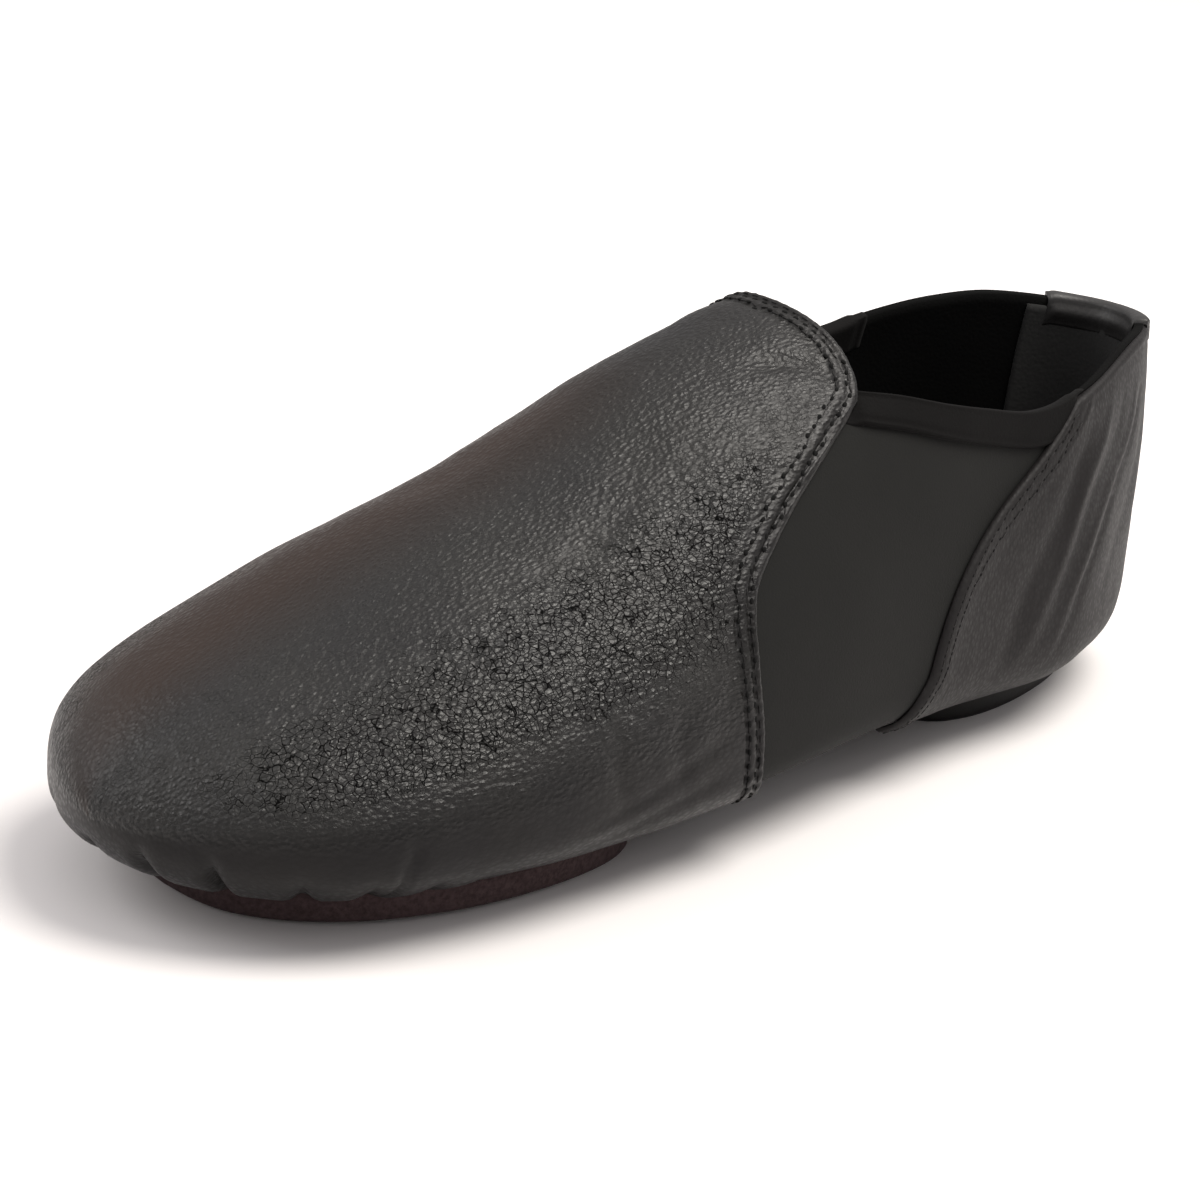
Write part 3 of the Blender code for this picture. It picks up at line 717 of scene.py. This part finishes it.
def quarterFolds(here, medial):
    # One side's folds, seams and hem, and how far each point is into a turned edge
    hemGap, place = nearLine(here, here[-1])[:2]
    topGap = nearLine(here, here[:, 0 if medial else -1])[0]
    fold = (quarter["innerFolds"] if medial else 1.0) * creaseField(here, quarterCreases, medial)
    fold *= ease(0.003, 0.010, hemGap) * (0.3 + 0.7 * ease(0.002, 0.012, topGap))
    fold -= seamGrooves(quarter, hemGap, place)
    fold += quarter["hemRise"] * (1 - ease(quarter["hemWidth"] * 0.7, quarter["hemWidth"], hemGap))
    row, depth, width = quarter["topGroove"]
    fold -= depth * np.exp(-(((topGap - row) / width) ** 2))
    return fold, edgeRoll(np.minimum(hemGap, topGap))


def makeQuarter():
    shares = np.linspace(0, 1, 110)[:, None] ** 1.5
    girths = denseGirths(70, 0.2)
    half = len(girths)
    sideU = quarterEdge(girths) * shares
    # Under the back of the heel the two lower edges meet, and they part over the pad
    closing = last["leatherMargin"] * (1 - ease(*quarter["parting"], sideU)) * (1 - girths) ** 3
    lateral = girthTurn(sideU, girths, False) - closing
    medial = girthTurn(sideU[:, ::-1], girths[::-1], True) + closing[:, ::-1]
    u = np.concatenate([sideU, sideU[:, ::-1]], axis=1)
    v = np.concatenate([lateral, medial], axis=1)
    plain = skin(u, v, 0.0)
    sides = [quarterFolds(plain[:, :half], False), quarterFolds(plain[:, half:], True)]
    lift, roll = np.concatenate(sides, axis=2)
    for k, (height, size) in enumerate(quarter["waves"]):
        lift += height * waviness(plain, size, 3 + k)
    lift *= 0.15 + 0.85 * ease(0.0, 0.03, u)
    points = skin(u, v, lift * (1 - roll) - hide["edgeDrop"] * roll)
    flex = 0.06 + 0.16 * ease(0.5, 1.0, shares) * np.ones(u.shape)
    keep = np.arange(2 * half - 1) != half - 1
    fields = {"flex": flex, "warmth": np.full(u.shape, 0.3)}
    piece = addPiece("quarterLeather", points, keep, False, fields, hide["wall"])
    return dress(piece, quarterLeather, "leather", "quarter")


quarterPiece = makeQuarter()
print("quarter ready")


# The sock: elastic at the waist, a black lining inside

sock = {
    "outFace": -1.3 * mm,
    "inFace": -2.6 * mm,
    "rimOut": -1.0 * mm,
    "elasticWall": 0.6 * mm,
    "liningWall": 0.3 * mm,
    "tuck": 8 * mm,  # how far the elastic runs on under the leather
    "waist": 0.4 * mm,
    "under": (0.15, 0.06),  # and how far below the foot to the heel and the toe, in shares of the length
    "toeEnd": 0.988,
}


def makeElastic():
    shares = np.linspace(0, 1, 44)[:, None]
    girths = np.linspace(0, 1, 74)
    tuck = sock["tuck"] / last["length"]
    us, vs = [], []
    for medial, values in ((False, girths), (True, girths[::-1])):
        back = quarterEdge(values) - tuck
        us.append(back + (vampEdge(values) + tuck - back) * shares)
        vs.append(girthTurn(us[-1], values, medial))
    turns = underTurns(26)
    back = quarterEdge(0.0) - sock["under"][0]
    front = vampEdge(0.0) + sock["under"][1]
    edge = us[0][:, :1]
    us.append(edge + (back + (front - back) * shares - edge) * (1 - np.abs(turns / last["leatherMargin"]) ** 6))
    vs.append(turns + 0.0 * shares)
    u = np.concatenate(us, axis=1)
    v = np.concatenate(vs, axis=1)
    sides = ease(0.12, 0.2, np.minimum(v % 1, 1 - v % 1))
    points = skin(u, v, sock["outFace"] - sock["waist"] * np.sin(np.pi * shares) * sides)
    keep = np.arange(u.shape[1]) != len(girths) - 1  # no cells over the mouth, between the two collars
    piece = addPiece("elasticSock", points, keep, True, (), sock["elasticWall"])
    dress(piece, elasticCloth, "elastic", "upper")


def makeLining():
    heelward = throat * np.linspace(0, 1, 60) ** 1.6
    toeward = throat + (sock["toeEnd"] - throat) * np.sin(np.linspace(0, np.pi / 2, 80))[1:]
    u = np.concatenate([heelward, toeward])[:, None]
    girths = np.linspace(0, 1, 44)
    lateral = girthTurn(u, girths, False)
    medial = girthTurn(u, girths[::-1], True)
    top = lateral[:, -1:] + (medial[:, :1] - lateral[:, -1:]) * np.linspace(0, 1, 20)[1:-1]
    v = np.concatenate([lateral, top, medial, 0.0 * u + underTurns(24)], axis=1)
    points = skin(u, v, sock["inFace"])
    # Along the mouth the top edge turns out to meet the leather
    first = len(girths)
    afterTop = first + top.shape[1]
    ends = [first - 1, afterTop]
    rim = np.where((u < throat + 0.004)[..., None], skin(u, v[:, ends], sock["rimOut"]), points[:, ends])
    points = np.concatenate(
        [points[:, :first], rim[:, :1], points[:, first:afterTop], rim[:, 1:], points[:, afterTop:]], axis=1)
    keep = np.ones((len(u) - 1, points.shape[1]), bool)
    keep[: len(heelward) - 1, first : afterTop + 1] = False
    piece = addPiece("sockLining", points, keep, True, (), sock["liningWall"])
    dress(piece, liningCloth, "lining", "upper")


makeElastic()
makeLining()
print("sock ready")


# Folded edgings on the collar

tape = {
    "width": 5.8 * mm,
    "thick": 0.8 * mm,
    "roof": 1.1 * mm,  # how high the fold stands over the collar's edge
    "seam": 1.1 * mm,
    "tuck": 3.5 * mm,  # under the quarter, and under the vamp
    "frontTuck": 12 * mm,
    "climb": 0.05,  # share of the length over which it climbs on under the vamp
}
tab = {
    "width": 26 * mm,
    "thick": 0.6 * mm,
    "outerDrop": 3.0 * mm,
    "innerDrop": 4.8 * mm,
    "roof": 1.5 * mm,
    "slump": 0.7 * mm,
    "panelTurn": 0.10,  # how far the lining panel runs down, in turns of the section
    "panelStart": 0.004,
    "panelWall": 0.4 * mm,
}
sinkDepth = 0.7 * mm  # how far an edging's ends sink in


def foldedEdge(name, stations, profile, surface, slot, node, climb=0.0):
    # stations: place, side and how far it sinks in. profile: height over the collar's edge and out, in metres
    heights, outs = profile.T
    nearby = 0.004
    rows = []
    for u, medial, sink in stations:
        turn = float(collarTurn(u, medial, climb))
        travel = np.linalg.norm(form(u, turn + nearby) - form(u, turn - nearby)) / (2 * nearby)
        turns = turn + (-1 if medial else 1) * np.minimum(heights, 0.0) / travel
        row = skin(u, turns, np.clip(outs, outs.min() + sink, outs.max() - sink))
        row[:, 2] += np.maximum(heights, 0.0) - 0.6 * sink
        rows.append(row)
    points = np.array(rows)
    fields = {"flex": np.full(points.shape[:2], 0.12)}
    dress(addPiece(name, points, ring=True, fields=fields, caps=True), surface, slot, node)


def foldProfile(outerFace, thick, outerDrop, innerDrop, seam, roof, slump=0.0):
    # Round the fold: up the outer leg, over the top and down the inner leg, then back along the inside. slump is how
    # far the inner leg bellies into the shoe.
    innerFace = sock["inFace"] - 0.2 * mm
    stops = []
    for t in np.linspace(0, 1, 16):
        dent = 0.22 * mm * math.exp(-(((t * outerDrop - seam) / (0.5 * mm)) ** 2)) if seam else 0.0
        rounding = 1 - math.sqrt(1 - max(0.0, 1 - t * outerDrop / (0.8 * thick)) ** 2)
        stops.append((-outerDrop * (1 - t), outerFace + thick * (1 - 0.8 * rounding) - dent))
    middle = (outerFace + innerFace) / 2
    half = (outerFace - innerFace) / 2 + thick
    for a in np.radians(np.linspace(0, 180, 13)[1:-1]):
        over = math.copysign(abs(math.cos(a)) ** 0.8, math.cos(a))
        stops.append((roof * math.sin(a) ** 0.8, middle + half * over))
    for t in np.linspace(0, 1, 10):
        stops.append((-innerDrop * t, innerFace - thick - slump * math.sin(math.pi * t**0.8) ** 2))
    stops += [(height, innerFace) for height in (-innerDrop, -innerDrop * 0.5, 0.2 * mm)]
    stops += [(height, outerFace) for height in (0.2 * mm, -outerDrop * 0.5, -outerDrop)]
    return np.array(stops)


def makeTapes():
    profile = foldProfile(sock["outFace"] + 0.1 * mm, tape["thick"], tape["width"], tape["width"], tape["seam"],
                          tape["roof"])
    back = float(quarterEdge(1.0)) - tape["tuck"] / last["length"]
    places = np.linspace(back, throat + tape["frontTuck"] / last["length"], 60)
    ends = np.maximum(ease(throat + 0.008, throat + 0.018, places), 1 - ease(back + 0.008, back + 0.016, places))
    for side in ("lateral", "medial"):
        stations = [(u, side == "medial", sink) for u, sink in zip(places, sinkDepth * ends)]
        foldedEdge("bindingTape_" + side, stations, profile, tapeCloth, "tape", "gore_binding_" + side, tape["climb"])


def bothSides(side):
    # From the outer end round the back of the heel to the inner end
    return [(u, False) for u in side[::-1]] + [(u, True) for u in side if u > 0]


def makeTab():
    us = np.linspace(0.0, quarterEdge(1.0), 400)
    width = form(us, collarTurn(us, False))[:, 0] - form(us, collarTurn(us, True))[:, 0]
    reach = float(np.interp(tab["width"], width, us))
    profile = foldProfile(-0.1 * mm, tab["thick"], tab["outerDrop"], tab["innerDrop"], 0.0, tab["roof"], tab["slump"])
    # The last's very back point is left out, as its faces shrink to none
    side = reach * np.linspace(0.06, 1, 22) ** 1.6
    stations = [(u, medial, sinkDepth * ease(0.80 * reach, reach, u)) for u, medial in bothSides(side)]
    foldedEdge("heelTabLeather", stations, profile, tabLeather, "leather", "heel_tab")
    # Below the leather's inner edge a panel of lining runs down the inside of the heel
    down = np.linspace(tab["panelStart"], tab["panelTurn"], 24)
    rows = []
    for u, medial in bothSides(1.5 * reach * np.linspace(0, 1, 20) ** 1.6):
        rows.append(skin(u, float(collarTurn(u, medial)) - (-1 if medial else 1) * down, sock["inFace"] - 0.4 * mm))
    panel = addPiece("heelLiningPanel", np.array(rows), thickness=tab["panelWall"])
    dress(panel, panelCloth, "lining", "heel_tab")


makeTapes()
makeTab()
print("edgings ready")


# Sole pieces and insole

soles = {
    # net: heel and toe end as shares of the length, share of the half width, the two ends' powers, rows and columns.
    # top and under: the two faces from the form's outside. drop: how far the bottom lies below that, where it is flat.
    "heelPadRubber": {
        "net": (0.034, 0.284, 0.58, 3.2, 4.0, 61, 41), "top": -last["leather"], "under": last["gap"],
        "drop": last["heelPad"] + 2.2 * mm, "rounding": 1.2 * mm, "dress": (padRubber, "rubber", "heel"),
    },
    "forefootPatch": {
        "net": (0.60, 0.93, 0.74, 3.0, 2.6, 81, 51), "top": last["gap"], "under": last["gap"],
        "drop": last["forefoot"] + 1.5 * mm, "rounding": 1.4 * mm,
        "dress": (patchSuede, "sole_patch", "forefoot_sole"),
    },
    "insoleSock": {
        "net": (0.035, 0.925, 0.74, 2.6, 2.6, 90, 31), "top": -4.2 * mm, "under": -3.0 * mm,
        "drop": None, "rounding": 0.4 * mm, "dress": (liningCloth, "lining", "insole"),
    },
}


def flatNet(back, front, reach, backPower, frontPower, rows, columns):
    # Places under the foot inside an oval outline that just doesn't close to a point at its ends
    spread = np.linspace(-1, 1, rows)
    along = 0.998 * (0.4 * spread + 0.6 * np.sin(spread * np.pi / 2))
    across = np.sin(np.linspace(-1, 1, columns) * np.pi / 2) * 0.45 + np.linspace(-1, 1, columns) * 0.55
    power = np.where(along < 0, backPower, frontPower)
    width = reach * (1 - np.abs(along) ** power) ** (1 / power)
    share = width[:, None] * across
    u = np.broadcast_to(((back + front) / 2 + along * (front - back) / 2)[:, None], share.shape)
    turn = np.arcsin(np.abs(share) ** (section("solePower", u) / 2)) / (2 * np.pi)
    return u, np.sign(share) * turn


def slabPiece(name, top, bottom, rounding):
    # A closed pad: the top's rim comes down the sides in rounded steps to a bottom that is inset by the rounding
    rows, columns = top.shape[:2]
    index = np.arange(rows * columns).reshape(rows, columns)
    rim = np.concatenate([index[0], index[1:, -1], index[-1, -2::-1], index[-2:0:-1, 0]])
    rimTop = top.reshape(-1, 3)[rim]
    rimBottom = bottom.reshape(-1, 3)[rim]
    shrink = (bottom[rows // 2, columns // 2] - bottom) * np.array([1.0, 1.0, 0.0])
    far = np.linalg.norm(shrink, axis=-1, keepdims=True)
    inward = (shrink / np.maximum(far, 0.001 * mm)).reshape(-1, 3)[rim]
    rings = []
    for down in (0.25, 0.5, 0.72):
        ring = rimTop + (rimBottom - rimTop) * down
        ring[:, 2] = np.maximum(ring[:, 2], rimBottom[:, 2] + rounding)
        rings.append(ring)
    for angle in np.radians((0, 22, 45, 68, 90)):
        ring = rimBottom + inward * rounding * (1 - math.cos(angle))
        ring[:, 2] = rimBottom[:, 2] + rounding * (1 - math.sin(angle))
        rings.append(ring)
    inner = bottom + shrink * np.clip(rounding / np.maximum(far, 0.001 * mm), 0, 0.5)
    verts = np.concatenate([top.reshape(-1, 3), *rings, inner.reshape(-1, 3)])
    walls = np.arange(len(rings) * len(rim)).reshape(len(rings), -1) + index.size
    walls = np.concatenate([rim[None], walls])
    walls = np.concatenate([walls, walls[:, :1]], axis=1)
    nets = (netFaces(index), netFaces(walls.T), netFaces((index + len(verts) - index.size).T))
    faces = [face for net in nets for face in net.reshape(-1, 4).tolist()]
    return meshObject(name, verts, faces, 0.05 * mm, True)


def makeSoles():
    for name, sole in soles.items():
        u, v = flatNet(*sole["net"])
        bottom = skin(u, v, sole["under"])
        if sole["drop"]:
            bottom[..., 2] = np.maximum(bottom[..., 2] - sole["drop"], 0.0)
        dress(slabPiece(name, skin(u, v, sole["top"]), bottom, sole["rounding"]), *sole["dress"])


makeSoles()
print("soles ready")


# Stitches and needle holes

stitch = {
    "share": 0.30,  # half length of a stitch, as a share of the pitch
    "width": 0.17 * mm,  # half sizes
    "height": 0.14 * mm,
    "search": 1.2 * mm,  # the leather's mesh is looked for from here, outside it
    "vampHoles": (0.58 * mm, 0.40 * mm, 0.17 * mm),
    "quarterHoles": (0.36 * mm, 0.24 * mm, 0.10 * mm),
}


def offsetPlaces(u, v, distance):
    # Places at a distance to the toe side (above zero) or heel side of a line of places, square to the line
    step = 0.001
    centre = form(u, v)
    du = (form(u + step, v) - centre) / step
    dv = (form(u, v + step) - centre) / step
    aside = np.cross(normalAt(u, v), unit(np.gradient(centre, axis=0)))
    aside *= distance * np.sign((aside * du).sum(axis=1, keepdims=True))
    move = np.linalg.pinv(np.stack([du, dv], axis=-1)) @ aside[..., None]
    return u + move[:, 0, 0], v + move[:, 1, 0]


def evenPlaces(u, v, pitch):
    points = form(u, v)
    travel = np.concatenate([[0], np.cumsum(np.linalg.norm(np.diff(points, axis=0), axis=1))])
    at = np.arange(pitch / 2, travel[-1], pitch)
    return np.interp(at, travel, u), np.interp(at, travel, v)


def beads(name, places, tangents, normals, size, surface):
    # One small rounded bead per place, all in one mesh. size is its half length, half width and half height.
    rings, around = 5, 8
    a = np.linspace(0, np.pi, rings + 1)[:, None]
    b = np.linspace(0, 2 * np.pi, around, endpoint=False)
    shape = np.stack([-np.cos(a) + 0 * b, np.sin(a) * np.cos(b), np.sin(a) * np.sin(b)], axis=-1) * size
    axes = np.stack([tangents, np.cross(normals, tangents), normals], axis=1)
    verts = places[:, None] + shape.reshape(-1, 3) @ axes
    index = np.arange((rings + 1) * around).reshape(rings + 1, around)
    cells = netFaces(np.concatenate([index, index[:, :1]], axis=1)).reshape(-1, 4)
    faces = cells + (np.arange(len(places)) * index.size)[:, None, None]
    dress(meshObject(name, verts, faces.reshape(-1, 4).tolist(), 0.01 * mm, True), surface, "leather")


def seam(name, lines, pitch, leather, holeSize):
    # Threads lie between needle holes along each line of places, on the leather as it is shown
    mesh = leather.data
    shown = BVHTree.FromPolygons([vert.co for vert in mesh.vertices], [face.vertices for face in mesh.polygons])
    spots = []
    for line in lines:
        u, v = evenPlaces(*line, pitch / 2)
        points = np.array([shown.find_nearest(Vector(point))[0] for point in skin(u, v, stitch["search"])])
        spots.append((points, unit(np.gradient(points, axis=0)), normalAt(u, v)))
    threadSize = (pitch * stitch["share"], stitch["width"], stitch["height"])
    for part, start, size, surface in (("Thread", 0, threadSize, threadBlack), ("Holes", 1, holeSize, holeBlack)):
        beads(name + part, *[np.concatenate([spot[k][start::2] for spot in spots]) for k in range(3)], size, surface)


def vampSeams():
    girths = np.linspace(0.02, 1, 120)
    tops = np.linspace(0, 1, 42)[1:-1]
    u = np.concatenate([shownEdge(girths), topEdge(tops), shownEdge(girths[::-1])])
    lateral = girthTurn(vampEdge(girths), girths, False)
    medial = girthTurn(vampEdge(girths[::-1]), girths[::-1], True)
    v = np.concatenate([lateral, lateral[-1] + (medial[0] - lateral[-1]) * tops, medial])
    lines = [offsetPlaces(u, v, row) for row in vamp["seamRows"]]
    seam("vampSeam", lines, vamp["pitch"], vampPiece, stitch["vampHoles"])


def quarterSeams():
    girths = np.linspace(0.02, 0.985, 100)
    u = quarterEdge(girths)
    lines = [offsetPlaces(u, girthTurn(u, girths, medial), -row)
             for medial in (False, True) for row in quarter["seamRows"]]
    seam("quarterSeam", lines, quarter["pitch"], quarterPiece, stitch["quarterHoles"])


vampSeams()
quarterSeams()
print("seams ready")


# Floor, light and camera

studio = {
    "floor": 8.0,
    # Greyer near the middle: painted shade round the shoe
    "paperAndPaintedShade": ((0.14, "#e9e6e6"), (0.45, "#f8f7f7")),  # metres from the middle, and colour
    "sky": (1.0, 0.965, 0.960, 1),
    "horizon": 0.42,
    "zenith": 0.80,
    "aim": (0, 0, 0.03),  # where the lamps point
}
softboxes = (  # place, width, watts and colour of each
    ("overheadSoftbox", (0.35, 0.38, 1.04), 0.80, 14.5, (1.0, 0.965, 0.90)),
    ("frontFill", (-0.75, -0.70, 0.80), 0.90, 5.5, (1.0, 0.985, 0.97)),
)
photoView = {
    "place": (0.37232, -0.40340, 0.22184),
    "azimuth": 44.091,
    "elevation": 19.315,
    "roll": 4.422,
    "lens": 97.19,
}


def makeFloor():
    # Matt paper, painted a touch greyer where the shoe stands: painted shade round the shoe
    bpy.ops.mesh.primitive_plane_add(size=studio["floor"])
    floor = bpy.context.object
    floor.name = "paperFloor"
    made, shader, add = newMaterial("whiteBackdropPaper", {"Roughness": 0.9})
    grain = add("TexNoise", {"Scale": 60.0})
    place = add("TexCoord", result="Object")
    away = add("VectorMath", {"operation": "LENGTH"}, {0: place}, "Value")
    mixed = add("Math", {**scaled, 1: 0.02}, {0: grain, 2: away})
    linkInto(shader, {"Base Color": ramp(add("ValToRGB", {}, {0: mixed}), studio["paperAndPaintedShade"])})
    floor.data.materials.append(made)


def makeLight():
    world = bpy.data.worlds.new("softStudio")
    world.use_nodes = True
    add = partial(addNode, world.node_tree)
    background = world.node_tree.nodes["Background"]
    way = add("TexCoord", result="Generated")
    up = add("SeparateXYZ", {}, {0: way}, "Z")
    glow = add("MapRange", {1: 0.05, 2: 0.75, 3: studio["horizon"], 4: studio["zenith"]}, {0: up})
    linkInto(background, {"Strength": glow})
    background.inputs["Color"].default_value = studio["sky"]
    bpy.context.scene.world = world
    for name, place, size, watts, colour in softboxes:
        data = bpy.data.lights.new(name, "AREA")
        data.shape, data.size, data.energy, data.color = "DISK", size, watts, colour
        lamp = bpy.data.objects.new(name, data)
        lamp.location = place
        lamp.rotation_euler = (Vector(studio["aim"]) - Vector(place)).to_track_quat("-Z", "Y").to_euler()
        bpy.context.scene.collection.objects.link(lamp)


def makeCamera():
    a, e, r = (math.radians(photoView[angle]) for angle in ("azimuth", "elevation", "roll"))
    back = Vector((math.sin(a) * math.cos(e), -math.cos(a) * math.cos(e), math.sin(e)))
    right = Vector((math.cos(a), math.sin(a), 0.0))
    up = back.cross(right)
    tilted = Matrix((right * math.cos(r) + up * math.sin(r), up * math.cos(r) - right * math.sin(r), back))
    data = bpy.data.cameras.new("photoCamera")
    data.lens = photoView["lens"]
    data.clip_start = 0.01
    camera = bpy.data.objects.new("photoCamera", data)
    camera.matrix_world = Matrix.Translation(photoView["place"]) @ tilted.transposed().to_4x4()
    bpy.context.scene.collection.objects.link(camera)
    bpy.context.scene.camera = camera


makeFloor()
makeLight()
makeCamera()
bpy.context.scene.view_settings.view_transform = "Standard"
bpy.context.view_layer.update()
print("studio ready")
